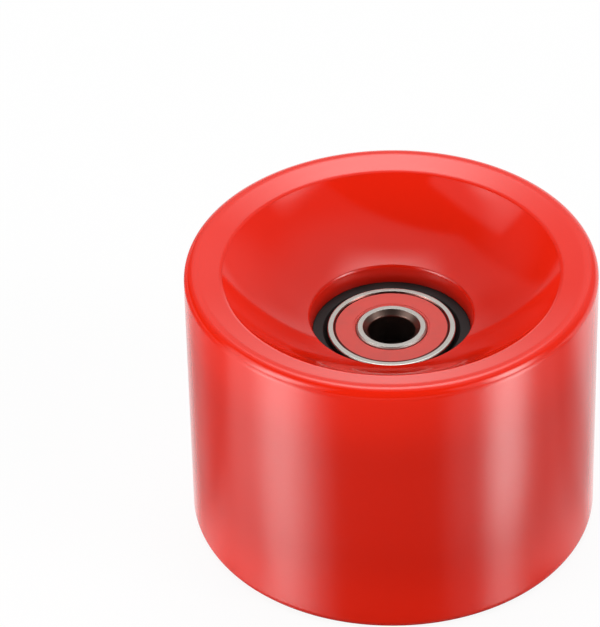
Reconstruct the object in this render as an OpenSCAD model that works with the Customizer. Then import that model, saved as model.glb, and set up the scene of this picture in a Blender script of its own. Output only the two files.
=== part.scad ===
// Longboard wheel: a urethane tyre cast on a plastic core, with two sealed ball bearings and a spacer.
// The axle runs along Z and the origin is the middle of the axle bore. Sizes are in millimetres and degrees.

/* [Tyre] */
// Outer diameter of the tread
wheel_d = 70; // [62:0.5:90]
// Width over the two rims
wheel_w = 51; // [44:0.5:64]
// Radius of the rounded edge of the tread
tread_edge_r = 1.85; // [0.6:0.05:3]
// Radius of the broader round from the top of the rim in to the rim land
shoulder_r = 3.6; // [2:0.1:6]
// Width of the rim, from the tread to where the dish starts
rim_w = 6.3; // [4.5:0.1:9]
// Slope of the rim land down towards the dish
land_slope = 15; // [0:0.5:20]
// Radius of the rounded edge between the land and the dish
rim_edge_r = 2; // [0.3:0.1:3]
// How far the dish bows in below a straight cone
dish_bow = 1; // [0.6:0.1:2.4]
// Height of the neck, from the core's face to the dish
neck_h = 3.1; // [2:0.1:4]
// How far the neck widens on its way up to the dish
neck_flare = 0.4; // [0.2:0.1:1.6]
// Radius of the rounded edge between the neck and the dish
neck_edge_r = 0.9; // [0.3:0.1:1.2]

/* [Core] */
// Wall of the core's sleeve round each bearing
core_wall = 2.5; // [1.8:0.1:4]
// How far each bearing stands out of the core's face
bearing_proud = 0.6; // [0:0.1:1.2]
// Chamfer at the mouth of each bearing seat
seat_chamfer = 0.7; // [0.2:0.1:1]
// Height of the shoulder that each outer ring stops against
stop_h = 1.4; // [0.8:0.1:1.6]
// Height of the flange that locks the core into the urethane
flange_h = 3.5; // [2:0.1:5]
// Width of that flange
flange_w = 10; // [6:0.5:14]
// Diameter of each scallop in the flange's rim
scallop_d = 4; // [2:0.1:4.5]
// Number of scallops round the flange
scallop_count = 10; // [6:1:14]

/* [Bearings] */
// Diameter of the axle bore
axle_d = 8; // [7:0.1:8.4]
// Outer diameter of a bearing
bearing_d = 22; // [21.5:0.1:24]
// Width of a bearing
bearing_w = 7; // [6.6:0.1:9]
// Diameter of a ball
ball_d = 3.969; // [3.5:0.001:4.1]
// Number of balls in a bearing
ball_count = 7; // [6:1:8]
// Rounded outer corner of the outer ring
ring_corner_r = 0.3; // [0.1:0.05:0.5]
// Width of the outer ring's end face, with its corner
ring_face_w = 1; // [0.8:0.05:1.2]
// Chamfer on the outer edge of the inner ring
inner_chamfer = 0.25; // [0.05:0.05:0.4]
// Radial size of the lead-in at each end of the axle bore
lead_r = 0.95; // [0.5:0.05:1]
// Slope of that lead-in below the ring's end face
lead_slope = 41; // [30:1:60]
// Radius of the rounded edge between the lead-in and the bore
lead_edge_r = 0.55; // [0.1:0.05:0.8]
// Depth of the ball groove in the inner ring
inner_groove = 0.53; // [0.4:0.01:0.7]
// Depth of the ball groove in the outer ring
outer_groove = 0.73; // [0.5:0.01:0.9]

/* [Seals and cage] */
// How far a seal lies below the rings' end faces
seal_recess = 0.15; // [0.05:0.05:0.3]
// Undercut in the outer ring that holds a seal's bead
seal_undercut = 0.2; // [0.1:0.05:0.3]
// Width of the thin lip along a seal's inner edge
seal_lip_w = 0.5; // [0.3:0.05:0.7]
// Bevel round the outer edge of a seal's face
seal_bevel = 0.2; // [0.05:0.05:0.2]
// Thickness of the steel plate in a seal
plate_t = 0.3; // [0.2:0.05:0.35]
// Rubber left inside and outside the steel plate
plate_margin = 0.8; // [0.5:0.05:1]
// Thickness of the cage under a ball
cage_floor = 0.25; // [0.15:0.05:0.35]
// How far the cage's prongs reach past the middle of the balls
cage_reach = 0.9; // [0.5:0.1:1.3]

/* [Spacer] */
// Length of the spacer between the bearings
spacer_l = 11; // [9:0.1:14]
// Wall of the spacer
spacer_wall = 1.5; // [1.1:0.05:1.7]
// Chamfer on the outer edges of the spacer
spacer_chamfer = 0.2; // [0.05:0.05:0.3]

/* [Clearances] */
// Bond line between the urethane and the core
bond_gap = 0.02; // [0.01:0.01:0.1]
// Between an outer ring and its seat
seat_gap = 0.02; // [0.01:0.01:0.05]
// Between a ball and its grooves
race_gap = 0.04; // [0.03:0.01:0.08]
// Between a ball and its pocket in the cage
pocket_gap = 0.06; // [0.04:0.01:0.12]
// Between a seal's lip and the inner ring
lip_gap = 0.05; // [0.03:0.01:0.1]
// Between a seal's edge and the outer ring
seal_gap = 0.03; // [0.01:0.01:0.05]
// Between the cage and what lies beside it
cage_gap = 0.2; // [0.1:0.05:0.3]

/* [Hidden] */
$fn = 96;
BEARINGS = ["upper", "lower"];
SEALS = ["outboard", "inboard"];
RINGS = ["outer_ring", "inner_ring", "cage"];

// Bearing: everything is measured from its middle plane, with its outboard side up
bore_r = axle_d / 2;
ring_r = bearing_d / 2;
half_w = bearing_w / 2;
bearing_z = spacer_l / 2 + half_w;
pitch_r = (bore_r + ring_r) / 2;
ball_r = ball_d / 2;
groove_r = ball_r + race_gap;
inner_land_r = pitch_r - groove_r + inner_groove;
outer_land_r = pitch_r + groove_r - outer_groove;
pocket_r = ball_r + pocket_gap;
cage_back = pocket_r + cage_floor;
cage_in_r = inner_land_r + 2 * cage_gap;
cage_out_r = outer_land_r - 2 * cage_gap;
prong_gap_r = (pitch_r * sin(180 / ball_count) - pocket_r) / 2;

// Seal: outer and inner edges, and heights above the bearing's middle plane
mouth_r = ring_r - ring_face_w;
mouth_chamfer = seal_undercut;
seal_seat_r = mouth_r - mouth_chamfer;
bead_r = mouth_r - seal_gap;
seal_edge_r = seal_seat_r - 3 * seal_gap;
seal_lip_r = inner_land_r + lip_gap;
seal_face_in_r = seal_lip_r + seal_lip_w;
seal_top = half_w - seal_recess;
seal_back = cage_back + cage_gap;
seal_t = seal_top - seal_back;
plate_pocket = plate_t + seal_gap;
plate_in_r = seal_lip_r + plate_margin;
plate_out_r = seal_seat_r - plate_margin;

// Core and tyre: heights above the middle of the wheel
tread_r = wheel_d / 2;
rim_top = wheel_w / 2;
core_r = ring_r + core_wall;
core_face = bearing_z + half_w - bearing_proud;
stop_r = ring_r - stop_h;
flange_r = core_r + flange_h;
spacer_r = bore_r + spacer_wall;
neck_foot = [core_r + bond_gap, core_face];
neck_top = neck_foot + [neck_flare, neck_h];
overcut = 1;

// Points on an arc about c, from angle a0 to angle a1, no more than arc_step apart
arc_step = 4;
function arc(c, r, a0, a1) =
    let (n = max(2, ceil(abs(a1 - a0) / arc_step)))
    [for (i = [0 : n]) let (a = a0 + (a1 - a0) * i / n) c + r * [cos(a), sin(a)]];

// Direction of a vector, and the unit vector of a direction
function heading(v) = atan2(v.y, v.x);
function unit(a) = [cos(a), sin(a)];

// How far along direction d a point that leaves p comes within r of c
function reach(p, d, c, r) = let (w = p - c, b = w * d) -b - sqrt(b * b - w * w + r * r);

// An upper half section, followed by its mirror image below the middle plane
function both_halves(pts) =
    concat(pts, [for (i = [len(pts) - 1 : -1 : 0]) [pts[i].x, -pts[i].y]]);

// Tread edge and shoulder: two arcs that meet at the top of the rim
tread_edge_c = [tread_r - tread_edge_r, rim_top - tread_edge_r];
shoulder_c = [tread_edge_c.x, rim_top - shoulder_r];

// Rim land: a straight line, tangent to the shoulder
land_up = 90 + land_slope;
land_start = shoulder_c + shoulder_r * unit(land_up);
land_way = unit(180 + land_slope);
dish_start_r = tread_r - rim_w;
dish_start = land_start + land_way * (land_start.x - dish_start_r) / cos(land_slope);

// Dish: an arc from the land to the top of the neck, bowed in below its chord
dish_chord = dish_start - neck_top;
dish_r = dish_chord * dish_chord / (8 * dish_bow) + dish_bow / 2;
dish_c = (dish_start + neck_top) / 2 + (dish_r - dish_bow) * unit(heading(dish_chord) + 90);

// Rounded edges at both ends of the dish, each tangent to the dish and to its straight neighbour
rim_edge_from = land_start - rim_edge_r * unit(land_up);
rim_edge_c = rim_edge_from + land_way * reach(rim_edge_from, land_way, dish_c, dish_r + rim_edge_r);
neck_way = heading(neck_top - neck_foot);
neck_edge_from = neck_foot + neck_edge_r * unit(neck_way - 90);
neck_edge_c = neck_edge_from
    + unit(neck_way) * reach(neck_edge_from, unit(neck_way), dish_c, dish_r + neck_edge_r);

tyre_half = concat(
    arc(tread_edge_c, tread_edge_r, 0, 90),
    arc(shoulder_c, shoulder_r, 90, land_up),
    arc(rim_edge_c, rim_edge_r, land_up, heading(dish_c - rim_edge_c)),
    arc(dish_c, dish_r, heading(rim_edge_c - dish_c), heading(neck_edge_c - dish_c)),
    arc(neck_edge_c, neck_edge_r, heading(dish_c - neck_edge_c), neck_way + 90),
    [neck_foot]
);

// The flange that the urethane is cast round, grown by gap where it cuts its own hollow
module flange(gap) {
    difference() {
        cylinder(r = flange_r + gap, h = flange_w + 2 * gap, center = true);
        for (i = [1 : scallop_count])
            rotate(i * 360 / scallop_count)
                translate([flange_r, 0, 0])
                    cylinder(d = scallop_d - 2 * gap, h = flange_w + overcut, center = true);
    }
}

module tyre() {
    color("#e42a18")
        difference() {
            rotate_extrude() polygon(both_halves(tyre_half));
            flange(bond_gap);
        }
}

// The hollow inside the core: a chamfered seat for each bearing, and a clear way between them
module core_hollow() {
    seat_r = ring_r + seat_gap;
    rotate_extrude()
        polygon(both_halves([
            [0, core_face + overcut],
            [seat_r + seat_chamfer + overcut, core_face + overcut],
            [seat_r, core_face - seat_chamfer],
            [seat_r, spacer_l / 2],
            [stop_r, spacer_l / 2]
        ]));
}

module core() {
    color("#262626")
        difference() {
            union() {
                cylinder(r = core_r, h = 2 * core_face, center = true);
                flange(0);
            }
            core_hollow();
        }
}

module bearing_spacer() {
    end = spacer_l / 2;
    color("#b9bcc0")
        rotate_extrude()
            polygon(both_halves([
                [spacer_r, end - spacer_chamfer],
                [spacer_r - spacer_chamfer, end],
                [bore_r, end]
            ]));
}

// The groove that the balls run in, cut from both rings
module ball_groove() {
    rotate_extrude() translate([pitch_r, 0]) circle(r = groove_r);
}

module outer_ring() {
    corner_c = [ring_r - ring_corner_r, half_w - ring_corner_r];
    color("#c9c5bd")
        difference() {
            rotate_extrude()
                polygon(both_halves(concat(
                    arc(corner_c, ring_corner_r, 0, 90),
                    [
                        [mouth_r, half_w],
                        [seal_seat_r, half_w - mouth_chamfer],
                        [seal_seat_r, seal_top - mouth_chamfer],
                        [mouth_r, seal_top - 2 * mouth_chamfer],
                        [mouth_r, seal_back],
                        [outer_land_r, seal_back]
                    ]
                )));
            ball_groove();
        }
}

module inner_ring() {
    lead_cone_r = lead_r - lead_edge_r * (1 - sin(lead_slope));
    lead_depth = lead_cone_r * tan(lead_slope) + lead_edge_r * cos(lead_slope);
    lead_edge_c = [bore_r + lead_edge_r, half_w - lead_depth];
    color("#cfcbc4")
        difference() {
            rotate_extrude()
                polygon(both_halves(concat(
                    [
                        [inner_land_r, half_w - inner_chamfer],
                        [inner_land_r - inner_chamfer, half_w],
                        [bore_r + lead_r, half_w]
                    ],
                    arc(lead_edge_c, lead_edge_r, 90 + lead_slope, 180)
                )));
            ball_groove();
        }
}

// One ball on the pitch circle
module ball(i) {
    color("#d8dadc")
        rotate(i * 360 / ball_count) translate([pitch_r, 0, 0]) sphere(r = ball_r);
}

// Crown cage: a ring below the balls, with a snap-in pocket for each and split prongs between them
module cage() {
    ring_w = cage_out_r - cage_in_r;
    color("#e8e2d0")
        difference() {
            rotate_extrude()
                translate([cage_in_r, -cage_back]) square([ring_w, cage_back + cage_reach]);
            for (i = [1 : ball_count])
                rotate(i * 360 / ball_count) {
                    translate([pitch_r, 0, 0]) sphere(r = pocket_r);
                    rotate(180 / ball_count)
                        translate([cage_in_r - overcut, 0, cage_reach])
                            rotate([0, 90, 0]) cylinder(r = prong_gap_r, h = ring_w + 2 * overcut);
                }
        }
}

// Outboard rubber seal: a bead held by the outer ring, a stepped face and a thin lip at the inner ring
module seal() {
    lip_step = seal_t / 7;
    color("#d8483c")
        rotate_extrude()
            polygon([
                [seal_edge_r, seal_top - seal_bevel],
                [seal_edge_r - seal_bevel, seal_top],
                [seal_face_in_r, seal_top],
                [seal_face_in_r, seal_top - lip_step],
                [seal_face_in_r - seal_lip_w / 2, seal_top - lip_step],
                [seal_lip_r, seal_top - 3 * lip_step],
                [seal_lip_r, seal_top - 4 * lip_step],
                [seal_face_in_r, seal_back],
                [plate_in_r - seal_gap, seal_back],
                [plate_in_r - seal_gap, seal_back + plate_pocket],
                [plate_out_r + seal_gap, seal_back + plate_pocket],
                [plate_out_r + seal_gap, seal_back],
                [bead_r, seal_back],
                [bead_r, seal_top - 2 * mouth_chamfer - seal_gap],
                [seal_edge_r, seal_top - mouth_chamfer - seal_gap]
            ]);
}

// Steel plate that stiffens a seal, seated against the floor of its pocket
module seal_plate() {
    color("#a8abae")
        translate([0, 0, seal_back + plate_pocket - plate_t])
            difference() {
                cylinder(r = plate_out_r, h = plate_t);
                translate([0, 0, -overcut]) cylinder(r = plate_in_r, h = plate_t + 2 * overcut);
            }
}

// Moves a bearing's piece to its end of the core, with its outboard side away from the middle
module at(bearing) {
    mirror([0, 0, bearing == "lower" ? 1 : 0]) translate([0, 0, bearing_z]) children();
}

// Turns an outboard seal's piece over for the inboard side
module facing(side) {
    mirror([0, 0, side == "inboard" ? 1 : 0]) children();
}

tyre();
core();
bearing_spacer();
for (b = BEARINGS) {
    at(b) outer_ring();
    at(b) inner_ring();
    at(b) cage();
    for (s = SEALS) {
        at(b) facing(s) seal();
        at(b) facing(s) seal_plate();
    }
    for (i = [1 : ball_count])
        at(b) ball(i);
}
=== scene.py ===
"""Dressed model of a longboard wheel: red cast urethane on a black core, with two ball bearings.

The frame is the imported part's own: the axle runs along Z, the origin is the middle of the bore,
and objects are in metres. Pieces and camera have their sizes in millimetres, as on a drawing;
finishes and light have theirs in metres, as nodes read them.
"""

import logging
import math
from dataclasses import dataclass, field
from enum import Enum
from typing import Any, Callable, ClassVar, Union

import bmesh
import bpy
from mathutils import Matrix, Vector


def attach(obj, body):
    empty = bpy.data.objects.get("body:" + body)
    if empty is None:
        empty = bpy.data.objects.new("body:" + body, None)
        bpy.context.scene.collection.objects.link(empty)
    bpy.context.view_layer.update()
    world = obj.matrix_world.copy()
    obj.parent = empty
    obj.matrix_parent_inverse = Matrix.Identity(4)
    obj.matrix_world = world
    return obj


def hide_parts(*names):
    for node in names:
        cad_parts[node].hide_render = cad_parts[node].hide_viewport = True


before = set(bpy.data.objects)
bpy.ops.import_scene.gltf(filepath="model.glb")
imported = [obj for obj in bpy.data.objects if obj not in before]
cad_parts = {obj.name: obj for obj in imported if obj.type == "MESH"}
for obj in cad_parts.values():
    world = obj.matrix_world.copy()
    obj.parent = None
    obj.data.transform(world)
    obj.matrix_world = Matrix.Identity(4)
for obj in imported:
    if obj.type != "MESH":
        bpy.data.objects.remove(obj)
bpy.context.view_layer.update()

LOG = logging.getLogger("wheel")
MM = 0.001
SHARP_ANGLE = math.radians(32)
WHITE = (1.0, 1.0, 1.0, 1.0)

Point = tuple[float, float]
Triple = tuple[float, float, float]
Colour = tuple[float, float, float]
# A pattern's cells in a metre and its number of finer layers
Pattern = tuple[float, float]
Operand = Union["Value", float, int]
Sockets = dict[Union[str, int], Any]


class End(Enum):
    """The two ends of the wheel, each with its bearing; the value is the way along the axle."""

    UPPER = 1
    LOWER = -1


class Side(Enum):
    """The two faces of a bearing; the value is the way from its middle plane, outboard as plus."""

    OUTBOARD = 1
    INBOARD = -1


class Body(Enum):
    """The moving bodies that the turned pieces ride on; each ball rides on its own."""

    AXLE_STACK = "axle_stack"
    WHEEL = "wheel"


# Node graphs


def math_method(operation: str, swapped: bool = False) -> Callable[..., "Value"]:
    """Makes a method of Value that adds one Math node.

    Args:
        operation: Blender's name of the operation.
        swapped: Whether the other operand comes first, as in one minus a value.

    Returns:
        The method.
    """
    def method(value: "Value", other: Operand = 0.0) -> "Value":
        """The value after the operation, with another operand where it takes two."""
        first, second = (other, value) if swapped else (value, other)
        return value.graph.add("ShaderNodeMath", {"operation": operation}, {0: first, 1: second})

    return method


class Value:
    """An output socket that takes part in Python arithmetic by adding Math nodes."""

    def __init__(self, graph: "Graph", socket: bpy.types.NodeSocket) -> None:
        """Wraps an output socket of a graph."""
        self.graph = graph
        self.socket = socket

    __add__ = __radd__ = math_method("ADD")
    __sub__ = math_method("SUBTRACT")
    __rsub__ = math_method("SUBTRACT", swapped=True)
    __mul__ = __rmul__ = math_method("MULTIPLY")
    __truediv__ = math_method("DIVIDE")
    __rtruediv__ = math_method("DIVIDE", swapped=True)
    __pow__ = math_method("POWER")
    __mod__ = math_method("FLOORED_MODULO")
    __abs__ = math_method("ABSOLUTE")
    floor = math_method("FLOOR")
    root = math_method("SQRT")
    sin = math_method("SINE")
    cos = math_method("COSINE")
    at_least = math_method("MAXIMUM")
    above = math_method("GREATER_THAN")

    def fade(self, start: float, stop: float, low: float = 0.0, high: float = 1.0) -> "Value":
        """Eases from one level to another.

        Args:
            start: Where the change starts.
            stop: Where it is complete; it may lie below start.
            low: The level at start.
            high: The level at stop.

        Returns:
            The eased value.
        """
        if start > stop:
            start, stop, low, high = stop, start, high, low
        return self.graph.add(
            "ShaderNodeMapRange", {"interpolation_type": "SMOOTHSTEP"},
            {"Value": self, "From Min": start, "From Max": stop, "To Min": low, "To Max": high},
        )


class Graph:
    """A node tree that is written as calls and expressions."""

    def __init__(self, tree: bpy.types.NodeTree) -> None:
        """Empties a tree and starts on it."""
        self.tree = tree
        tree.nodes.clear()

    @staticmethod
    def _socket(sockets: Any, key: Union[str, int]) -> bpy.types.NodeSocket:
        """The socket with this identifier, or else with this name or place."""
        known = [socket for socket in sockets if socket.identifier == key]
        return known[0] if known else sockets[key]

    def node(self, kind: str, settings: dict[str, Any], sockets: Sockets) -> bpy.types.Node:
        """Adds a node.

        Args:
            kind: Blender's type name of the node.
            settings: The node's own settings, which are set first.
            sockets: Values or links of its input sockets.

        Returns:
            The new node.
        """
        made = self.tree.nodes.new(kind)
        for name, value in settings.items():
            setattr(made, name, value)
        for key, value in sockets.items():
            socket = self._socket(made.inputs, key)
            if isinstance(value, Value):
                self.tree.links.new(value.socket, socket)
            else:
                socket.default_value = value
        return made

    def add(
        self, kind: str, settings: dict[str, Any], sockets: Sockets, output: Union[str, int] = 0
    ) -> Value:
        """Adds a node and gives one of its outputs, ready for arithmetic."""
        return Value(self, self._socket(self.node(kind, settings, sockets).outputs, output))

    def outputs(self, kind: str, sockets: Sockets) -> dict[str, Value]:
        """Adds a node and gives all its outputs by name."""
        made = self.node(kind, {}, sockets)
        return {socket.name: Value(self, socket) for socket in made.outputs}

    def mix(self, factor: Operand, first: Any, second: Any) -> Value:
        """Mixes two colours.

        Args:
            factor: Share of the second colour.
            first: The first colour, as numbers or a link.
            second: The second colour.

        Returns:
            The mixed colour.
        """
        first, second = (
            colour if isinstance(colour, Value) else (*colour, 1.0) for colour in (first, second)
        )
        sockets = {"Factor_Float": factor, "A_Color": first, "B_Color": second}
        return self.add("ShaderNodeMix", {"data_type": "RGBA"}, sockets, "Result_Color")

    def place(self) -> Value:
        """The point that is shaded, in the piece's own frame."""
        return self.add("ShaderNodeTexCoord", {}, {}, "Object")

    def axes(self, vector: Value) -> tuple[Value, ...]:
        """The three parts of a vector."""
        return tuple(self.outputs("ShaderNodeSeparateXYZ", {0: vector}).values())

    def polar(self, vector: Value) -> tuple[Value, Value]:
        """A point's distance from the axle, and its height."""
        x, y, height = self.axes(vector)
        return (x * x + y * y).root(), height

    def along(self, vector: Value, axis: Any) -> Value:
        """The part of a vector along an axis."""
        sockets = {0: vector, 1: axis}
        return self.add("ShaderNodeVectorMath", {"operation": "DOT_PRODUCT"}, sockets, "Value")

    def noise(self, vector: Value, pattern: Pattern) -> Value:
        """Fractal noise from nought to one, round one half."""
        sockets = {"Vector": vector, "Scale": pattern[0], "Detail": pattern[1], "Roughness": 0.5}
        return self.add("ShaderNodeTexNoise", {}, sockets)

    def bump(self, height: Value, distance: float) -> Value:
        """A normal that follows a height, where a height of one stands for the distance."""
        sockets = {"Height": height, "Distance": distance, "Strength": 1.0}
        return self.add("ShaderNodeBump", {}, sockets, "Normal")


# Finishes


@dataclass(frozen=True)
class Finish:
    """A surface finish; its material is made once and shared by the pieces that have it."""

    name: str

    def material(self) -> bpy.types.Material:
        """The finish as a Blender material.

        Returns:
            The material, made on the first call.
        """
        made = bpy.data.materials.get(self.name)
        if made is None:
            made = bpy.data.materials.new(self.name)
            made.use_nodes = True
            graph = Graph(made.node_tree)
            graph.node("ShaderNodeOutputMaterial", {}, {"Surface": self.shader(graph)})
        return made

    def shader(self, graph: Graph) -> Value:
        """The shader of the finish."""
        return graph.add("ShaderNodeBsdfPrincipled", {}, self.sockets(graph))

    def sockets(self, graph: Graph) -> Sockets:
        """Values and links of the shader's sockets, by name."""
        raise NotImplementedError


@dataclass(frozen=True)
class Urethane(Finish):
    """Glossy cast urethane: painted glow where the rim lets light through, painted shade at the
    neck's foot.
    """

    name: str = "red_urethane"
    # Painted glow: thin is the colour lit through near a rim, deep the colour where that glow has
    # faded
    thin: Colour = (0.85, 0.0174, 0.0037)
    deep: Colour = (0.65, 0.0130, 0.0028)
    crest_r: float = 0.033
    crest_z: float = 0.0255
    glow: Point = (0.001, 0.022)
    steep: float = 1.35
    clouds: Pattern = (45.0, 3.0)
    cloud_depth: float = 0.004
    tread_r: float = 0.0349
    neck_r: float = 0.01395
    neck_blur: float = 0.00005
    # Painted shade: the neck darkens to this colour towards its foot by the core
    neck_foot: Colour = (0.42, 0.0084, 0.0018)
    neck_shade: Point = (0.0140, 0.0119)
    roughness: float = 0.07
    tread_roughness: float = 0.06
    neck_roughness: float = 0.22
    grain: Pattern = (260.0, 3.0)
    grain_roughness: float = 0.02
    speck: Colour = (0.62, 0.05, 0.03)
    speck_cells: float = 190.0
    speck_rarity: float = 0.93
    speck_edge: Point = (0.055, 0.02)
    speck_share: float = 0.6
    speck_pit: float = 0.5
    wave: Pattern = (90.0, 2.0)
    wave_h: float = 0.00002
    ior: float = 1.5

    def sockets(self, graph: Graph) -> Sockets:
        """Paints a glow by the distance from the nearer rim, with clouds, specks and a wave.

        Args:
            graph: The material's graph.

        Returns:
            Values and links by socket name.
        """
        place = graph.place()
        radius, z = graph.polar(place)
        # Painted glow: the nearer a rim, the lighter, as if light came through the urethane
        inward, down = radius - self.crest_r, (abs(z) - self.crest_z) * self.steep
        depth = (inward * inward + down * down).root()
        clouds = (graph.noise(place, self.clouds) - 0.5) * self.cloud_depth
        colour = graph.mix((depth + clouds).fade(*self.glow), self.thin, self.deep)
        neck = radius.fade(self.neck_r + self.neck_blur, self.neck_r - self.neck_blur)
        # Painted shade at the neck's foot, where it meets the core
        colour = graph.mix(neck * abs(z).fade(*self.neck_shade), colour, self.neck_foot)
        cells = graph.outputs(
            "ShaderNodeTexVoronoi", {"Vector": place, "Scale": self.speck_cells, "Randomness": 1.0}
        )
        rare = graph.axes(cells["Color"])[0].above(self.speck_rarity)
        specks = cells["Distance"].fade(*self.speck_edge) * rare
        grain = graph.noise(place, self.grain) * self.grain_roughness
        tread = radius.above(self.tread_r) * self.tread_roughness
        wave = graph.noise(place, self.wave)
        return {
            "Base Color": graph.mix(specks * self.speck_share, colour, self.speck),
            "Roughness": self.roughness + grain + tread + neck * self.neck_roughness,
            "IOR": self.ior,
            "Normal": graph.bump(wave - specks * self.speck_pit, self.wave_h),
        }


@dataclass(frozen=True)
class MouldedPlastic(Finish):
    """Moulded plastic with a fine spark-eroded grain."""

    name: str = "black_core_plastic"
    colour: Colour = (0.0105, 0.0085, 0.0085)
    worn: Colour = (0.020, 0.016, 0.016)
    roughness: float = 0.42
    grain: Pattern = (2600.0, 3.0)
    grain_roughness: float = 0.16
    grain_h: float = 0.000012
    wear: Pattern = (130.0, 4.0)
    wear_edge: Point = (0.4, 0.75)
    gloss: float = 0.22

    def sockets(self, graph: Graph) -> Sockets:
        """Gives a fine grain in the skin, and a slow change of shade.

        Args:
            graph: The material's graph.

        Returns:
            Values and links by socket name.
        """
        place = graph.place()
        wear = graph.noise(place, self.wear).fade(*self.wear_edge)
        grain = graph.noise(place, self.grain)
        return {
            "Base Color": graph.mix(wear, self.colour, self.worn),
            "Roughness": self.roughness + grain * self.grain_roughness,
            "Specular IOR Level": self.gloss,
            "Normal": graph.bump(grain, self.grain_h),
        }


@dataclass(frozen=True)
class TurnedMetal(Finish):
    """Metal with the fine rings that grinding or turning leaves round the axle."""

    name: str
    colour: Colour
    stain: Colour
    roughness: float
    lay: float
    lay_h: float = 0.0000015
    lay_roughness: float = 0.12
    stains: Pattern = (420.0, 3.0)
    stain_edge: Point = (0.45, 0.8)
    stain_share: float = 0.6
    stain_roughness: float = 0.06

    def sockets(self, graph: Graph) -> Sockets:
        """Gives rings by the distance from the axle and along it, and faint stains.

        Args:
            graph: The material's graph.

        Returns:
            Values and links by socket name.
        """
        place = graph.place()
        radius, z = graph.polar(place)
        across = graph.add("ShaderNodeCombineXYZ", {}, {0: radius, 1: z})
        rings = graph.add(
            "ShaderNodeTexNoise", {"noise_dimensions": "2D"},
            {"Vector": across, "Scale": self.lay, "Detail": 2.0, "Roughness": 0.6},
        )
        stains = graph.noise(place, self.stains).fade(*self.stain_edge)
        rough = self.roughness + rings * self.lay_roughness + stains * self.stain_roughness
        return {
            "Base Color": graph.mix(stains * self.stain_share, self.colour, self.stain),
            "Roughness": rough,
            "Metallic": 1.0,
            "Normal": graph.bump(rings, self.lay_h),
        }


@dataclass(frozen=True)
class RingSteel(TurnedMetal):
    """Ground ring steel: painted shade in bore and seal groove, duller on the inner ring's edge."""

    name: str = "ground_steel"
    colour: Colour = (0.52, 0.49, 0.455)
    stain: Colour = (0.43, 0.40, 0.365)
    roughness: float = 0.16
    lay: float = 9000.0
    # Painted shade in the bore, browned by a painted reflection
    bore: Colour = (0.17, 0.115, 0.095)
    bore_r: float = 0.0049
    bore_roughness: float = 0.12
    # Painted shade in the seal groove, reddened by a painted reflection of the red parts
    groove: Colour = (0.30, 0.12, 0.10)
    groove_r: Point = (0.0097, 0.00998)
    edge_r: Point = (0.00575, 0.0070)
    edge_roughness: float = 0.25
    blur: float = 0.00004

    def sockets(self, graph: Graph) -> Sockets:
        """Paints shade into the bore and the groove, and dulls the edge under the seal's lip.

        Args:
            graph: The material's graph.

        Returns:
            Values and links by socket name.
        """
        ground = super().sockets(graph)
        radius, _ = graph.polar(graph.place())
        bore = radius.fade(self.bore_r + self.blur, self.bore_r - self.blur)
        # Painted shade and a red painted reflection in the seal groove
        groove_from, groove_to = self.groove_r
        groove = radius.above(groove_from) * radius.fade(groove_to, groove_to - self.blur)
        edge_from, edge_to = self.edge_r
        edge = radius.fade(edge_from, edge_from + self.blur) * (1.0 - radius.above(edge_to))
        # Painted shade in the bore
        colour = graph.mix(bore, ground["Base Color"], self.bore)
        dull = bore * self.bore_roughness + edge * self.edge_roughness
        return {
            **ground,
            "Base Color": graph.mix(groove, colour, self.groove),
            "Roughness": ground["Roughness"] + dull,
        }


@dataclass(frozen=True)
class SealRubber(Finish):
    """Matt moulded rubber: a fine grain, faint ring marks of its mould, painted shade at the
    groove.
    """

    name: str = "red_seal_rubber"
    colour: Colour = (0.70, 0.070, 0.054)
    dull: Colour = (0.60, 0.074, 0.060)
    dull_clouds: Pattern = (320.0, 4.0)
    dull_edge: Point = (0.4, 0.75)
    dull_share: float = 0.7
    # Painted shade on the outer bevel, down into the groove by the outer ring
    groove: Colour = (0.16, 0.024, 0.020)
    groove_r: Point = (0.0095, 0.00954)
    roughness: float = 0.5
    grain: Pattern = (3200.0, 3.0)
    grain_roughness: float = 0.12
    grain_h: float = 0.000008
    rings: float = 5200.0
    ring_share: float = 0.5

    def sockets(self, graph: Graph) -> Sockets:
        """Gives a fine grain, ring marks, and a colour that is slightly duller in clouds.

        Args:
            graph: The material's graph.

        Returns:
            Values and links by socket name.
        """
        place = graph.place()
        radius, _ = graph.polar(place)
        rings = graph.add(
            "ShaderNodeTexNoise", {"noise_dimensions": "1D"}, {"W": radius, "Scale": self.rings}
        )
        grain = graph.noise(place, self.grain)
        dull = graph.noise(place, self.dull_clouds).fade(*self.dull_edge)
        colour = graph.mix(dull * self.dull_share, self.colour, self.dull)
        return {
            # Painted shade at the groove
            "Base Color": graph.mix(radius.fade(*self.groove_r), colour, self.groove),
            "Roughness": self.roughness + grain * self.grain_roughness,
            "Normal": graph.bump(grain + rings * self.ring_share, self.grain_h),
        }


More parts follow.
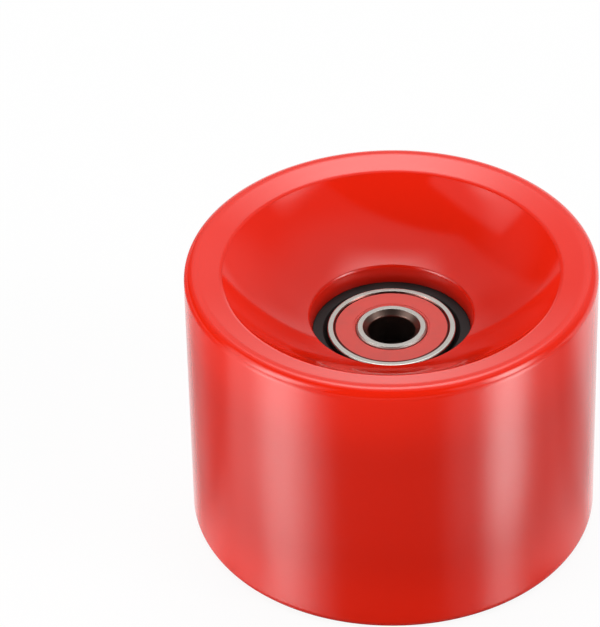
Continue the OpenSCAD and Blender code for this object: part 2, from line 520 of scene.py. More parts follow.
@dataclass(frozen=True)
class FloorPaint(Finish):
    """The floor's finish: white to the eye but for the wheel's shadow, and polished for its gloss.

    A pair is where a change starts and where it is complete, or its two levels. Bounced light meets
    matt greys, which paint a pool of light on the left and a shadow round the wheel's foot. The
    polish is lost in front, as a painted shadow near the wheel, behind on the right, and under a
    veil at each side.
    """

    name: str = "white_floor"
    white: float = 0.94
    contact: Point = (0.022, 0.036)
    shadow: float = 0.9
    # Painted light for bounced light: the floor is lighter on the left than on the right
    painted_bounce: Point = (0.98, 0.55)
    bounce_x: Point = (-0.10, 0.10)
    foot: Point = (0.036, 0.070)
    # Painted shadow round the wheel's foot for bounced light, with painted light on the left
    painted_foot_bounce: Triple = (0.98, 0.36, 0.6)
    foot_left: Point = (-0.040, -0.010)
    foot_right: Point = (0.015, 0.045)
    polish: float = 0.98
    polish_roughness: float = 0.2
    # Painted shadow: the polish dims near the wheel in front
    painted_shade_loss: Point = (0.15, 0.45)
    loss_near: Point = (0.068, 0.044)
    loss_x: Point = (-0.03, 0.03)
    loss_y: Point = (0.0, -0.02)
    behind_x: Point = (0.0, 0.02)
    behind_y: Point = (0.005, 0.03)
    veil: Point = (0.3, 0.6)
    veil_near: Point = (0.062, 0.042)
    veil_front: Point = (-0.034, -0.025)
    veil_back: Point = (-0.003, -0.015)
    veil_side: Point = (0.024, 0.034)

    def shader(self, graph: Graph) -> Value:
        """Mixes what the eye, mirrors and bounced light meet.

        Args:
            graph: The material's graph.

        Returns:
            The mixed shader.
        """
        def mixed(factor: Value, first: Value, second: Value) -> Value:
            """Two shaders, mixed."""
            return graph.add("ShaderNodeMixShader", {}, {0: factor, 1: first, 2: second})

        def matt(level: float) -> Value:
            """A plain grey shader."""
            return graph.add("ShaderNodeBsdfDiffuse", {}, {"Color": (level, level, level, 1.0)})

        place = graph.place()
        x, y, _ = graph.axes(place)
        radius, _ = graph.polar(place)
        ray = graph.outputs("ShaderNodeLightPath", {})
        glossy = ray["Is Glossy Ray"]
        seen = ray["Is Camera Ray"].at_least(glossy).at_least(ray["Is Transmission Ray"])
        # Painted light and shade that bounced light meets: more on the left, a shadow round the
        # foot
        left, right = (matt(level) for level in self.painted_bounce)
        wide = mixed(x.fade(*self.bounce_x), left, right)
        near_left, near_mid, near_right = (matt(level) for level in self.painted_foot_bounce)
        near = mixed(x.fade(*self.foot_left), near_left, near_mid)
        near = mixed(x.fade(*self.foot_right), near, near_right)
        plain = mixed(seen, mixed(radius.fade(*self.foot), near, wide), matt(self.shadow))
        bright = graph.add("ShaderNodeEmission", {}, {"Color": WHITE, "Strength": 1.0})
        lit = mixed(seen * radius.fade(*self.contact) * self.white, plain, bright)
        polish = {"Color": WHITE, "Roughness": self.polish_roughness}
        mirror = graph.add("ShaderNodeBsdfGlossy", {}, polish)
        # Painted shadow of the wheel on the polish in front of it
        painted_shade_loss = radius.fade(*self.loss_near) * x.fade(*self.loss_x, *self.painted_shade_loss)
        mirror = mixed(painted_shade_loss * y.fade(*self.loss_y), mirror, matt(0.0))
        behind = y.fade(*self.behind_y) * x.fade(*self.behind_x)
        beside = y.fade(*self.veil_front) * y.fade(*self.veil_back) * abs(x).fade(*self.veil_side)
        veil = beside * radius.fade(*self.veil_near, *self.veil)
        return mixed(glossy * (1.0 - behind.at_least(veil)) * self.polish, lit, mirror)


URETHANE = Urethane()
CORE_PLASTIC = MouldedPlastic()
CAGE_NYLON = MouldedPlastic(
    "cage_nylon", (0.78, 0.72, 0.58), (0.70, 0.63, 0.49), roughness=0.4, grain=(1800.0, 3.0)
)
RING_STEEL = RingSteel()
BALL_STEEL = TurnedMetal(
    "polished_ball_steel", (0.72, 0.72, 0.73), (0.66, 0.66, 0.67),
    roughness=0.07, lay=3000.0, lay_h=0.0000002,
)
PLATE_STEEL = TurnedMetal(
    "pressed_plate_steel", (0.5, 0.51, 0.52), (0.42, 0.43, 0.44), roughness=0.38, lay=5000.0
)
SPACER_ALLOY = TurnedMetal(
    "turned_spacer_alloy", (0.74, 0.75, 0.77), (0.66, 0.67, 0.69),
    roughness=0.3, lay=4200.0, lay_h=0.000003,
)
SEAL_RUBBER = SealRubber()
FLOOR_PAINT = FloorPaint()


# Sections


def unit(angle: float) -> Vector:
    """The unit vector of a direction in degrees."""
    return Vector((math.cos(math.radians(angle)), math.sin(math.radians(angle))))


def heading(vector: Vector) -> float:
    """The direction of a vector in degrees."""
    return math.degrees(math.atan2(vector.y, vector.x))


def half_turn(angle: float) -> float:
    """The same angle in degrees, within half a turn either way."""
    return (angle + 180) % 360 - 180


def reach(start: Vector, way: Vector, centre: Vector, radius: float) -> float:
    """Measures how far along a way a point comes within a radius of a centre.

    Args:
        start: Where the way starts.
        way: Its unit vector.
        centre: The centre.
        radius: The distance from the centre.

    Returns:
        The length of the way.
    """
    off = start - centre
    along = off.dot(way)
    return -along - math.sqrt(along * along - off.length_squared + radius * radius)


@dataclass
class Section:
    """A closed outline in the half plane of radius and height, in millimetres."""

    smooth_bend: ClassVar[float] = math.radians(12)
    side_share: ClassVar[float] = 0.4
    hold_share: ClassVar[float] = 1.2
    points: list[Vector] = field(default_factory=list)
    scalloped: list[bool] = field(default_factory=list)

    def corners(self, *points: Any, scalloped: bool = False) -> "Section":
        """Adds plain corners.

        Args:
            points: Radius and height of each corner.
            scalloped: Whether the scallops of the flange cut into them.

        Returns:
            The section itself.
        """
        self.points.extend(Vector(point) for point in points)
        self.scalloped.extend(scalloped for _ in points)
        return self

    def arc(
        self, centre: Any, radius: float, start: float, stop: float, step: float, hold: float = 0.0
    ) -> "Section":
        """Adds an arc.

        Args:
            centre: Its centre.
            radius: Its radius.
            start: Direction of its first point from the centre, in degrees.
            stop: Direction of its last point.
            step: Largest angle between two points.
            hold: Length of the straights that keep its neighbours flat; nought for none.

        Returns:
            The section itself.
        """
        count = max(2, math.ceil(abs(stop - start) / step))
        angles = (start + (stop - start) * k / count for k in range(count + 1))
        points = [Vector(centre) + radius * unit(angle) for angle in angles]
        if hold:
            quarter = math.copysign(90, stop - start)
            points.insert(0, points[0] - hold * unit(start + quarter))
            points.append(points[-1] + hold * unit(stop + quarter))
        return self.corners(*points)

    def mirrored(self) -> "Section":
        """The section with its mirror image below the middle plane added, in order."""
        below = [Vector((p.x, -p.y)) for p in reversed(self.points)]
        return Section(self.points + below, self.scalloped + self.scalloped[::-1])

    def moved(self, sign: int, height: float) -> "Section":
        """The section turned over where the sign is minus, then lifted."""
        points = [Vector((p.x, p.y * sign + height)) for p in self.points]
        return Section(points, list(self.scalloped))

    def eased(self, radius: float, steps: int = 4) -> "Section":
        """Rounds every sharp corner, with points beside each round to hold the flats.

        Args:
            radius: Radius of the rounds; short sides get smaller ones.
            steps: Number of facets in a round.

        Returns:
            The new section.
        """
        made = Section()
        for index, corner in enumerate(self.points):
            back = self.points[index - 1] - corner
            on = self.points[(index + 1) % len(self.points)] - corner
            bend = math.pi - back.angle(on)
            ring = [corner]
            if bend >= self.smooth_bend:
                side = self.side_share * min(back.length, on.length)
                set_back = min(radius * math.tan(bend / 2), side)
                back, on = back.normalized(), on.normalized()
                centre = corner + (back + on).normalized() * (set_back / math.sin(bend / 2))
                spoke = corner + back * set_back - centre
                start = heading(spoke)
                turn = half_turn(heading(corner + on * set_back - centre) - start)
                angles = [start + turn * k / steps for k in range(steps + 1)]
                ring = [centre + spoke.length * unit(angle) for angle in angles]
                ring.insert(0, corner + back * set_back * self.hold_share)
                ring.append(corner + on * set_back * self.hold_share)
            made.corners(*ring, scalloped=self.scalloped[index])
        return made


# Makers


@dataclass
class Maker:
    """A Geometry Nodes tree with named inputs that makes one kind of piece."""

    tree_name: ClassVar[str]
    blank: ClassVar[str]
    sizes: ClassVar[dict[str, str]]
    tree: bpy.types.NodeTree = field(init=False)
    inputs: dict[str, str] = field(init=False)

    def __post_init__(self) -> None:
        """Builds the tree, from its inputs to the steps that every piece ends with."""
        self.tree = bpy.data.node_groups.new(self.tree_name, "GeometryNodeTree")
        face = self.tree.interface
        for name, kind in {self.blank: "Geometry", **self.sizes, "Material": "Material"}.items():
            face.new_socket(name, in_out="INPUT", socket_type=f"NodeSocket{kind}")
        self.inputs = {item.name: item.identifier for item in face.items_tree}
        face.new_socket("Piece", in_out="OUTPUT", socket_type="NodeSocketGeometry")
        graph = Graph(self.tree)
        given = graph.outputs("NodeGroupInput", {})
        piece = self.shape(graph, given)
        for step, sockets in (
            ("SetShadeSmooth", {"Shade Smooth": True}),
            ("RealizeInstances", {}),
            ("SetMaterial", {"Material": given["Material"]}),
        ):
            piece = graph.add(f"GeometryNode{step}", {}, {"Geometry": piece, **sockets})
        graph.node("NodeGroupOutput", {}, {"Piece": piece})

    def shape(self, graph: Graph, given: dict[str, Value]) -> Value:
        """The bare shape, from the tree's inputs by name."""
        raise NotImplementedError

    def run(
        self, name: str, blank: bpy.types.Mesh, finish: Finish, sizes: dict[str, Any]
    ) -> bpy.types.Object:
        """Runs the tree and keeps the result as a plain mesh with its faces outwards.

        Args:
            name: Name of the piece.
            blank: The mesh that the tree starts from.
            finish: Finish of the piece.
            sizes: The tree's sizes, by name.

        Returns:
            The piece.
        """
        piece = bpy.data.objects.new(name, blank)
        bpy.context.scene.collection.objects.link(piece)
        maker = piece.modifiers.new("maker", "NODES")
        maker.node_group = self.tree
        for key, value in {**sizes, "Material": finish.material()}.items():
            maker[self.inputs[key]] = value
        graph = bpy.context.evaluated_depsgraph_get()
        result = bpy.data.meshes.new_from_object(piece.evaluated_get(graph), depsgraph=graph)
        piece.modifiers.clear()
        piece.data = result
        result.name = name
        outward = bmesh.new()
        outward.from_mesh(result)
        bmesh.ops.recalc_face_normals(outward, faces=outward.faces)
        outward.to_mesh(result)
        outward.free()
        result.set_sharp_from_angle(angle=SHARP_ANGLE)
        return piece


@dataclass
class Lathe(Maker):
    """Turns sections round the axle, and cuts the scallops where core and tyre lock."""

    tree_name: ClassVar[str] = "turned_section"
    blank: ClassVar[str] = "Section"
    sizes: ClassVar[dict[str, str]] = {
        "Corners": "Int", "Segments": "Int", "Scallops": "Int",
        "Scallop Circle": "Float", "Scallop Radius": "Float",
    }
    nudge: ClassVar[float] = 1e-4
    merge: ClassVar[float] = 1e-7
    segments: int = 240
    scallop_count: int = 10

    def shape(self, graph: Graph, given: dict[str, Value]) -> Value:
        """Bends a grid: its rows follow the section and its columns go round the axle.

        Args:
            graph: The tree's graph.
            given: The tree's inputs by name.

        Returns:
            The turned shape.
        """
        rows, columns = given["Corners"], given["Segments"]
        grid = graph.add(
            "GeometryNodeMeshGrid", {}, {"Vertices X": rows + 1, "Vertices Y": columns + 1}
        )
        index = graph.add("GeometryNodeInputIndex", {}, {})
        row = (index / (columns + 1) + self.nudge).floor()
        column = index - row * (columns + 1)
        corner = row % rows

        def sampled(kind: str, value: Value) -> Value:
            """A value of the section's corner in this row."""
            sockets = {"Geometry": given["Section"], "Value": value, "Index": corner + 0.5}
            return graph.add("GeometryNodeSampleIndex", {"data_type": kind}, sockets)

        position = sampled("FLOAT_VECTOR", graph.add("GeometryNodeInputPosition", {}, {}))
        cut = sampled("FLOAT", graph.add(
            "GeometryNodeInputNamedAttribute", {"data_type": "FLOAT"}, {"Name": "scalloped"}
        ))
        radius, _, height = graph.axes(position)
        angle = column / columns * (2 * math.pi)
        pitch = 2 * math.pi / given["Scallops"].at_least(1)
        local = (angle + pitch * 0.5) % pitch - pitch * 0.5
        centre, size = given["Scallop Circle"], given["Scallop Radius"]
        inside = size * size - (centre * local.sin()) ** 2
        floor = centre * local.cos() - inside.at_least(0.0).root()
        turned = radius - (radius - floor).at_least(0.0) * inside.above(0.0) * cut
        x, y = turned * angle.cos(), turned * angle.sin()
        placed = graph.add("ShaderNodeCombineXYZ", {}, {0: x, 1: y, 2: height})
        bent = graph.add("GeometryNodeSetPosition", {}, {"Geometry": grid, "Position": placed})
        closed = {"Geometry": bent, "Distance": self.merge}
        return graph.add("GeometryNodeMergeByDistance", {}, closed)

    def turn(
        self, name: str, section: Section, finish: Finish, scallops: Point = (0.0, 0.0)
    ) -> bpy.types.Object:
        """Turns a section into a piece.

        Args:
            name: Name of the piece.
            section: Its closed section.
            finish: Its finish.
            scallops: Radius of the circle that scallops are centred on, and of a scallop.

        Returns:
            The piece, as a plain mesh.
        """
        mesh = bpy.data.meshes.new(name)
        mesh.from_pydata([(p.x * MM, 0.0, p.y * MM) for p in section.points], [], [])
        flags = mesh.attributes.new("scalloped", "FLOAT", "POINT")
        flags.data.foreach_set("value", [float(flag) for flag in section.scalloped])
        return self.run(name, mesh, finish, {
            "Corners": len(section.points),
            "Segments": self.segments,
            "Scallops": self.scallop_count,
            "Scallop Circle": scallops[0] * MM,
            "Scallop Radius": scallops[1] * MM,
        })


@dataclass
class BallMaker(Maker):
    """Makes bearing balls."""

    tree_name: ClassVar[str] = "bearing_ball"
    blank: ClassVar[str] = "Blank"
    sizes: ClassVar[dict[str, str]] = {"Radius": "Float", "Facets": "Int", "Place": "Vector"}
    facets: int = 5

    def shape(self, graph: Graph, given: dict[str, Value]) -> Value:
        """Puts a ball of even facets in its place.

        Args:
            graph: The tree's graph.
            given: The tree's inputs by name.

        Returns:
            The ball.
        """
        ball = {"Radius": given["Radius"], "Subdivisions": given["Facets"]}
        made = graph.add("GeometryNodeMeshIcoSphere", {}, ball)
        placed = {"Geometry": made, "Offset": given["Place"]}
        return graph.add("GeometryNodeSetPosition", {}, placed)

    def make(self, name: str, radius: float, place: Vector, finish: Finish) -> bpy.types.Object:
        """Makes one ball of a radius at a place, as a plain mesh."""
        sizes = {"Radius": radius * MM, "Facets": self.facets, "Place": place * MM}
        return self.run(name, bpy.data.meshes.new(name), finish, sizes)


def fit_piece(piece: bpy.types.Object, body: str, node: str) -> None:
    """Puts a piece on its body in place of its CAD node.

    Args:
        piece: The piece.
        body: The body that it rides on.
        node: The CAD node that it stands for.
    """
    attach(piece, body)
    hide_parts(node)
    LOG.info("%s: %d faces, rides on %s", piece.name, len(piece.data.polygons), body)


# Sub-assemblies


@dataclass
class Tyre:
    """The urethane wheel body, cast round the core."""

    tread_r: float = 35.0
    tread_band: float = 8.0
    rim_top: float = 25.5
    tread_edge_r: float = 1.85
    shoulder_r: float = 3.6
    shoulder_step: float = 1.0
    rim_w: float = 6.3
    land_slope: float = 15.0
    rim_edge_r: float = 2.0
    dish_bow: float = 1.0
    dish_ease: float = 0.4
    neck_h: float = 3.1
    neck_flare: float = 0.4
    neck_edge_r: float = 0.9
    neck_foot: Point = (13.52, 11.9)
    hollow_r: float = 17.02
    hollow_half_w: float = 5.02
    scallops: Point = (17.0, 1.98)
    tread_hold: float = 0.4
    hold: float = 0.3

    def section(self) -> Section:
        """Draws the outline, from the tread over rim and dish to the core and back below.

        Returns:
            The section, with the hollow for the core's flange.
        """
        edge_c = Vector((self.tread_r - self.tread_edge_r, self.rim_top - self.tread_edge_r))
        shoulder_c = Vector((edge_c.x, self.rim_top - self.shoulder_r))
        up = 90 + self.land_slope
        land = shoulder_c + self.shoulder_r * unit(up)
        way = unit(180 + self.land_slope)
        land_w = land.x - self.tread_r + self.rim_w
        dish_start = land + way * land_w / math.cos(math.radians(self.land_slope))
        foot = Vector(self.neck_foot)
        neck_top = foot + Vector((self.neck_flare, self.neck_h))
        chord = dish_start - neck_top
        dish_r = chord.length_squared / (8 * self.dish_bow) + self.dish_bow / 2
        middle = (dish_start + neck_top) / 2
        dish_c = middle + (dish_r - self.dish_bow) * unit(heading(chord) + 90)
        rim_from = land - self.rim_edge_r * unit(up)
        rim_c = rim_from + way * reach(rim_from, way, dish_c, dish_r + self.rim_edge_r)
        neck_up = heading(neck_top - foot)
        rise = unit(neck_up)
        neck_from = foot + self.neck_edge_r * unit(neck_up - 90)
        neck_c = neck_from + rise * reach(neck_from, rise, dish_c, dish_r + self.neck_edge_r)
        dish_from = heading(rim_c - dish_c) + self.dish_ease
        dish_to = heading(neck_c - dish_c) - self.dish_ease
        half = Section()
        half.corners((self.tread_r, self.tread_band), (self.tread_r, edge_c.y - self.tread_hold))
        half.arc(edge_c, self.tread_edge_r, 0, 90, step=2.0)
        half.arc(shoulder_c, self.shoulder_r, 90 + self.shoulder_step, up, self.shoulder_step)
        land_end = rim_c + self.rim_edge_r * unit(up)
        half.corners(land + way * self.hold, land_end - way * self.hold)
        half.arc(rim_c, self.rim_edge_r, up, heading(dish_c - rim_c), step=1.5)
        half.arc(dish_c, dish_r, dish_from, dish_to, step=0.8)
        half.arc(neck_c, self.neck_edge_r, heading(dish_c - neck_c), neck_up + 90, step=4.0)
        half.corners(foot + rise * self.hold, foot, (foot.x, self.hollow_half_w))
        half.corners((self.hollow_r, self.hollow_half_w), scalloped=True)
        return half.mirrored()

    def build(self, lathe: Lathe) -> None:
        """Makes the tyre on the lathe and fits it."""
        piece = lathe.turn("tyre_cast", self.section(), URETHANE, self.scallops)
        fit_piece(piece, Body.WHEEL.value, "tyre")


@dataclass
class Core:
    """The plastic hub: a seat for each bearing, and a scalloped flange that locks the urethane."""

    outer_r: float = 13.5
    face_z: float = 11.9
    seat_r: float = 11.02
    seat_chamfer: float = 0.7
    seat_floor: float = 5.5
    stop_r: float = 9.6
    flange_r: float = 17.0
    flange_half_w: float = 5.0
    scallop_r: float = 2.0
    edge_r: float = 0.12

    def section(self) -> Section:
        """Draws the outline, from the flange over the end face into the seat and back below.

        Returns:
            The section.
        """
        half = Section().corners((self.flange_r, self.flange_half_w), scalloped=True)
        half.corners(
            (self.outer_r, self.flange_half_w), (self.outer_r, self.face_z),
            (self.seat_r + self.seat_chamfer, self.face_z),
            (self.seat_r, self.face_z - self.seat_chamfer),
            (self.seat_r, self.seat_floor), (self.stop_r, self.seat_floor),
        )
        return half.mirrored().eased(self.edge_r)

    def build(self, lathe: Lathe) -> None:
        """Makes the core and fits it.

        Args:
            lathe: The lathe.
        """
        scallops = (self.flange_r, self.scallop_r)
        piece = lathe.turn("core_moulded", self.section(), CORE_PLASTIC, scallops)
        fit_piece(piece, Body.WHEEL.value, "core")


@dataclass
class Spacer:
    """The alloy sleeve between the two inner rings."""

    outer_r: float = 5.5
    bore_r: float = 4.0
    half_l: float = 5.5
    chamfer: float = 0.2
    edge_r: float = 0.05

    def section(self) -> Section:
        """Draws the outline, from the outside over the chamfer to the bore and back below.

        Returns:
            The section.
        """
        half = Section().corners(
            (self.outer_r, self.half_l - self.chamfer), (self.outer_r - self.chamfer, self.half_l),
            (self.bore_r, self.half_l),
        )
        return half.mirrored().eased(self.edge_r)

    def build(self, lathe: Lathe) -> None:
        """Makes the spacer on the lathe and fits it."""
        piece = lathe.turn("spacer_sleeve", self.section(), SPACER_ALLOY)
        fit_piece(piece, Body.AXLE_STACK.value, "bearing_spacer")


@dataclass
class Bearing:
    """One sealed ball bearing; heights are above its middle plane, with its outboard side up."""

    end: End
    middle_z: float = 9.0
    ring_r: float = 11.0
    bore_r: float = 4.0
    half_w: float = 3.5
    corner_r: float = 0.3
    mouth_r: float = 10.0
    seat_r: float = 9.8
    mouth_chamfer: float = 0.2
    outer_land_r: float = 8.7955
    inner_land_r: float = 6.0045
    inner_chamfer: float = 0.25
    lead_r: float = 0.95
    lead_slope: float = 41.0
    lead_edge_r: float = 0.55
    pitch_r: float = 7.5
    groove_r: float = 2.0245
    ball_r: float = 1.9845
    ball_count: int = 7
    seal_top: float = 3.35
    seal_back: float = 2.4945
    seal_steps: int = 7
    seal_edge_r: float = 9.71
    seal_bevel: float = 0.2
    seal_facets: int = 3
    bead_r: float = 9.97
    lip_r: float = 6.0545
    lip_w: float = 0.5
    plate_r: Point = (6.8545, 9.0)
    plate_t: float = 0.3
    plate_gap: float = 0.03
    edge_r: float = 0.06

    def outer_ring(self) -> Section:
        """Draws the outer ring, with a grooved lip for each seal and the ball groove.

        Returns:
            The section.
        """
        lip = self.seal_top - self.mouth_chamfer
        corner_c = (self.ring_r - self.corner_r, self.half_w - self.corner_r)
        half = Section().arc(corner_c, self.corner_r, 0, 90, step=9.0, hold=self.edge_r).corners(
            (self.mouth_r, self.half_w), (self.seat_r, self.half_w - self.mouth_chamfer),
            (self.seat_r, lip), (self.mouth_r, lip - self.mouth_chamfer),
            (self.mouth_r, self.seal_back), (self.outer_land_r, self.seal_back),
            (self.outer_land_r, self._groove_z(self.outer_land_r)),
        )
        return self._with_groove(half, 0.0)

    def inner_ring(self) -> Section:
        """Draws the inner ring, with its chamfered bore and the ball groove.

        Returns:
            The section.
        """
        slope, edge_r = math.radians(self.lead_slope), self.lead_edge_r
        drop = math.tan(slope) * (self.lead_r - edge_r * (1 - math.sin(slope)))
        edge_c = (self.bore_r + edge_r, self.half_w - drop - edge_r * math.cos(slope))
        edge_to = 90 + self.lead_slope
        half = Section().arc(edge_c, edge_r, 180, edge_to, step=6.0, hold=self.edge_r).corners(
            (self.bore_r + self.lead_r, self.half_w),
            (self.inner_land_r - self.inner_chamfer, self.half_w),
            (self.inner_land_r, self.half_w - self.inner_chamfer),
            (self.inner_land_r, self._groove_z(self.inner_land_r)),
        )
        return self._with_groove(half, 180.0)

    def _groove_z(self, land_r: float) -> float:
        """Height at which the ball groove leaves a land."""
        return math.sqrt(self.groove_r**2 - (land_r - self.pitch_r) ** 2)

    def _with_groove(self, half: Section, outward: float) -> Section:
        """Closes a ring's upper half through its ball groove to the lower half.

        Args:
            half: The upper half, which ends where the groove starts.
            outward: Direction of the groove's floor from the balls, in degrees.

        Returns:
            The whole section.
        """
        ends = half.mirrored().eased(self.edge_r).points
        middle = len(ends) // 2
        centre = Vector((self.pitch_r, 0))
        start = heading(ends[middle - 1] - centre)
        stop = start + half_turn(2 * (outward - start))
        made = Section().corners(*ends[:middle]).arc(centre, self.groove_r, start, stop, step=5.0)
        return made.corners(*ends[middle:])

    def seal(self) -> Section:
        """Draws a seal: a bead in the ring, a stepped face, a thin lip and the plate's pocket.

        Returns:
            The section.
        """
        top, back, face_in = self.seal_top, self.seal_back, self.lip_r + self.lip_w
        step = (top - back) / self.seal_steps
        pocket = back + self.plate_t + self.plate_gap
        plate_in, plate_out = self.plate_r[0] - self.plate_gap, self.plate_r[1] + self.plate_gap
        bead_top = top - self.mouth_chamfer - self.plate_gap
        return Section().corners(
            (self.seal_edge_r, top - self.seal_bevel), (self.seal_edge_r - self.seal_bevel, top),
            (face_in, top), (face_in, top - step), (face_in - self.lip_w / 2, top - step),
            (self.lip_r, top - 3 * step), (self.lip_r, top - 4 * step), (face_in, back),
            (plate_in, back), (plate_in, pocket), (plate_out, pocket), (plate_out, back),
            (self.bead_r, back), (self.bead_r, bead_top - self.mouth_chamfer),
            (self.seal_edge_r, bead_top),
        ).eased(self.edge_r, self.seal_facets)

    def plate(self) -> Section:
        """Draws the steel ring that stiffens a seal.

        Returns:
            The section.
        """
        low = self.seal_back + self.plate_gap
        high = low + self.plate_t
        inner, outer = self.plate_r
        ring = Section().corners((outer, low), (outer, high), (inner, high), (inner, low))
        return ring.eased(self.edge_r, self.seal_facets)

    def _named(self, part: str) -> str:
        """The CAD node's name of a part at this end."""
        return f"{self.end.name.lower()}_{part}"

    def build(self, lathe: Lathe, ball_maker: BallMaker) -> None:
        """Makes every piece of the bearing and fits it.

        Args:
            lathe: The lathe for the rings.
            ball_maker: The maker of the balls.
        """
        sign, up = self.end.value, Side.OUTBOARD
        rings = [
            ("outer_ring", self.outer_ring(), RING_STEEL, Body.WHEEL, "ring_steel", up),
            ("inner_ring", self.inner_ring(), RING_STEEL, Body.AXLE_STACK, "ring_steel", up),
        ]
        for side in Side:
            seal = f"{side.name.lower()}_seal"
            rings += [
                (seal, self.seal(), SEAL_RUBBER, Body.WHEEL, "seal", side),
                (f"{seal}_plate", self.plate(), PLATE_STEEL, Body.WHEEL, "plate_steel", side),
            ]
        for part, section, finish, body, slot, side in rings:
            node = self._named(part)
            placed = section.moved(sign * side.value, sign * self.middle_z)
            fit_piece(lathe.turn(f"{node}_turned", placed, finish), body.value, node)
        for number in range(1, self.ball_count + 1):
            node = self._named(f"ball_{number}")
            around = self.pitch_r * unit(number * 360 / self.ball_count)
            place = Vector((*around, sign * self.middle_z))
            piece = ball_maker.make(f"{node}_lapped", self.ball_r, place, BALL_STEEL)
            fit_piece(piece, node, node)
        self.dress_cage()

    def dress_cage(self) -> None:
        """Gives the cage, whose solid is kept, its finish."""
        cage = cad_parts[self._named("cage")]
        for slot in cage.material_slots:
            slot.material = CAGE_NYLON.material()
        LOG.info("%s keeps its solid", cage.name)


# Studio


@dataclass(frozen=True)
class Softbox:
    """A soft-edged patch of light far away; angles in degrees, azimuth from the camera's side."""

    azimuth: float
    elevation: float
    width: float
    height: float
    level: float
    edge: float
    roll: float = 0.0
    facing: ClassVar[float] = 0.01

    def light(self, graph: Graph, way: Value) -> Value:
        """Works out the patch's light in a direction.

        Args:
            graph: The world's graph.
            way: The direction.

        Returns:
            Its brightness there.
        """
        az, el, roll = (math.radians(a) for a in (self.azimuth, self.elevation, self.roll))
        to = Vector((math.sin(az) * math.cos(el), -math.cos(az) * math.cos(el), math.sin(el)))
        level = Vector((math.cos(az), math.sin(az), 0.0))
        up = to.cross(level)
        across = level * math.cos(roll) + up * math.sin(roll)
        over = up * math.cos(roll) - level * math.sin(roll)
        front = graph.along(way, to)
        depth = front.at_least(self.facing)
        light = front.above(self.facing)
        for axis, size in ((across, self.width), (over, self.height)):
            half = math.tan(math.radians(size / 2))
            offset = abs(graph.along(way, axis) / depth)
            light = light * offset.fade(half + self.edge, half - self.edge)
        return light * self.level


@dataclass(frozen=True)
class Scrim:
    """A large dim panel overhead, brightest at one spot; each edge is a plane through the wheel."""

    spot: Triple = (0.0915, 0.3963, 0.9135)
    spot_edge: Point = (0.70, 0.95)
    low: float = 0.17
    level: float = 0.6
    left: Triple = (0.781, 0.473, 0.410)
    front: Triple = (0.418, 0.891, 0.177)
    edge: float = 0.04

    def light(self, graph: Graph, way: Value) -> Value:
        """Works out the panel's light in a direction.

        Args:
            graph: The world's graph.
            way: The direction.

        Returns:
            Its brightness there.
        """
        light = graph.along(way, self.spot).fade(*self.spot_edge, self.low, self.level)
        for normal in (self.left, self.front):
            light = graph.along(way, normal).fade(-self.edge, self.edge) * light
        return light


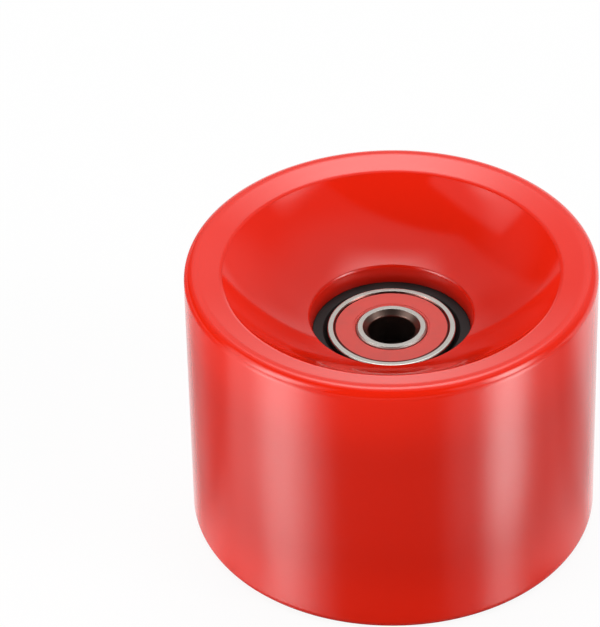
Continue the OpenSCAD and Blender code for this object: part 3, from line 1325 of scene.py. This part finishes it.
@dataclass
class Studio:
    """The white floor and the light."""

    floor_z: float = -0.0255
    floor_half: float = 30.0
    dim: float = 0.03
    horizon: float = 0.35
    horizon_edge: Point = (0.17, 0.07)
    softboxes: tuple[Softbox, ...] = (
        Softbox(-62, 24, 24, 33, 5.6, 0.18),
        Softbox(-65, 24, 55, 64, 0.5, 0.05, 12),
        Softbox(-78, 22, 31, 46, 0.95, 0.15),
        Softbox(-116, 37, 44, 24, 0.16, 0.18),
        Softbox(64.2, 24, 19, 33, 7.6, 0.15, -15),
        Softbox(60, 26, 47, 40, 0.8, 0.12),
        Softbox(140, 22, 40, 30, 0.22, 0.2),
        Softbox(177, 65, 27, 24, 4.4, 0.2),
        Softbox(180, 36, 44, 34, 0.35, 0.12),
        Softbox(176, 3, 36, 30, 1.1, 0.25),
    )
    scrim: Scrim = Scrim()

    def floor(self) -> None:
        """Lays the floor under the wheel."""
        mesh = bpy.data.meshes.new("studio_floor")
        corners = [(-1, -1), (1, -1), (1, 1), (-1, 1)]
        places = [(x * self.floor_half, y * self.floor_half, self.floor_z) for x, y in corners]
        mesh.from_pydata(places, [], [(0, 1, 2, 3)])
        mesh.materials.append(FLOOR_PAINT.material())
        floor = bpy.data.objects.new("studio_floor", mesh)
        bpy.context.scene.collection.objects.link(floor)

    def light(self) -> None:
        """Makes the light: a dim room, a white horizon, the softboxes and the scrim."""
        world = bpy.data.worlds.new("studio")
        world.use_nodes = True
        bpy.context.scene.world = world
        graph = Graph(world.node_tree)
        way = graph.add("ShaderNodeTexCoord", {}, {}, "Generated")
        light = graph.axes(way)[2].fade(*self.horizon_edge, self.dim, self.horizon)
        for source in (*self.softboxes, self.scrim):
            light = light + source.light(graph, way)
        ray = graph.outputs("ShaderNodeLightPath", {})
        eye = ray["Is Camera Ray"].at_least(ray["Is Transmission Ray"])
        light = light + (1.0 - light) * eye
        sky = graph.add("ShaderNodeBackground", {}, {"Color": WHITE, "Strength": light})
        graph.node("ShaderNodeOutputWorld", {}, {"Surface": sky})

    def build(self) -> None:
        """Makes floor and light, and keeps colours as they are written."""
        self.floor()
        self.light()
        bpy.context.scene.view_settings.view_transform = "Standard"


@dataclass
class PhotoCamera:
    """The photograph's camera; the picture is 600 by 627, so the sensor lies along its height."""

    place: Triple = (0.0, -558.486, 438.944)
    aim: Triple = (-16.105, 20.294, 0.0)
    roll: float = -1.506
    focal_px: float = 4123.69
    picture_h: float = 627.0
    sensor: float = 36.0
    clip: Point = (0.01, 100.0)

    def build(self) -> None:
        """Makes the camera and gives it to the scene."""
        data = bpy.data.cameras.new("photo_camera")
        data.sensor_width = self.sensor
        data.lens = self.focal_px * self.sensor / self.picture_h
        data.clip_start, data.clip_end = self.clip
        camera = bpy.data.objects.new("photo_camera", data)
        bpy.context.scene.collection.objects.link(camera)
        camera.location = Vector(self.place) * MM
        look = (Vector(self.aim) - Vector(self.place)).to_track_quat("-Z", "Y").to_matrix()
        camera.rotation_euler = (look @ Matrix.Rotation(math.radians(self.roll), 3, "Z")).to_euler()
        bpy.context.scene.camera = camera


def main() -> None:
    """Builds the wheel, the studio and the camera."""
    logging.basicConfig(level=logging.INFO, format="%(name)s: %(message)s")
    lathe, ball_maker = Lathe(), BallMaker()
    Tyre().build(lathe)
    Core().build(lathe)
    Spacer().build(lathe)
    for end in End:
        Bearing(end).build(lathe, ball_maker)
    Studio().build()
    PhotoCamera().build()


if __name__ == "__main__":
    main()
